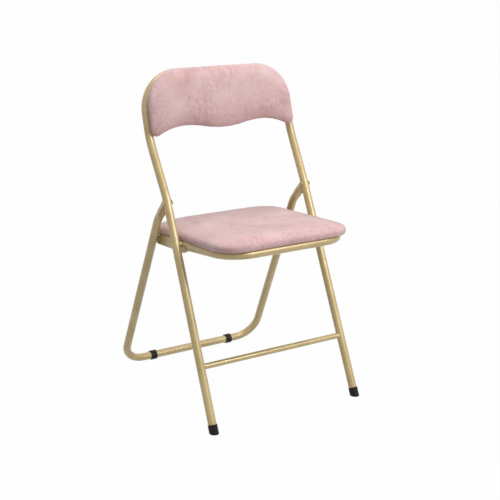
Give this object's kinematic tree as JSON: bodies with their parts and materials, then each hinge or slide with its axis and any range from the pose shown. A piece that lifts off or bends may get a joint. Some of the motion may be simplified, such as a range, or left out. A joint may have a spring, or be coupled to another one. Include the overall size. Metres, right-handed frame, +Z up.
{
  "type": "folding chair",
  "caption": "Folding chair with a bent tube frame and a padded velvet seat and back. The seat and rear legs fold together against the front legs.",
  "frame": {"origin": "middle of the open chair's footprint box, on the floor", "axes": "+Z up, -Y the way the chair faces, +X the sitter's left"},
  "size_m": [0.4224, 0.5041, 0.7874],
  "materials": {
    "gold_steel": "satin",
    "pink_velvet": "velvet",
    "black_plastic": "matte",
    "bare_steel": "satin",
    "plywood": "raw",
    "foam": "matte",
    "dark_cloth": "matte"
  },
  "bodies": {
    "front_frame": {"front_frame_tube": "gold_steel", "front_stretcher": "gold_steel", "front_foot_cap_left": "black_plastic", "front_foot_cap_right": "black_plastic", "hinge_rivets": "bare_steel", "seat_pivot_rivets": "bare_steel", "seat_pivot_spacers": "bare_steel", "back_board": "plywood", "back_foam": "foam", "back_cover": "pink_velvet", "back_lining": "dark_cloth", "back_tabs": "gold_steel", "back_screws": "bare_steel"},
    "rear_frame": {"rear_frame_tube": "gold_steel", "rear_foot_sleeve_left": "black_plastic", "rear_foot_sleeve_right": "black_plastic"},
    "seat": {"seat_frame_tube": "gold_steel", "seat_board": "plywood", "seat_foam": "foam", "seat_cover": "pink_velvet", "seat_underside_cloth": "dark_cloth", "seat_screws": "bare_steel", "slot_pins": "bare_steel", "slot_pin_collars": "bare_steel"}
  },
  "joints": [
    {"name": "seat_fold", "type": "hinge", "parent": "front_frame", "child": "seat", "pos_m": [0, -0.05796, 0.4], "axis": [-1, 0, 0], "range_deg": [0, 97]},
    {"name": "rear_fold", "type": "hinge", "parent": "front_frame", "child": "rear_frame", "pos_m": [0, -0.01652, 0.4935], "axis": [-1, 0, 0], "range_deg": [0, 49.1]}
  ],
  "couplings": [
    {"joint": "rear_fold", "follows": "seat_fold", "ratio": 0.50618}
  ]
}
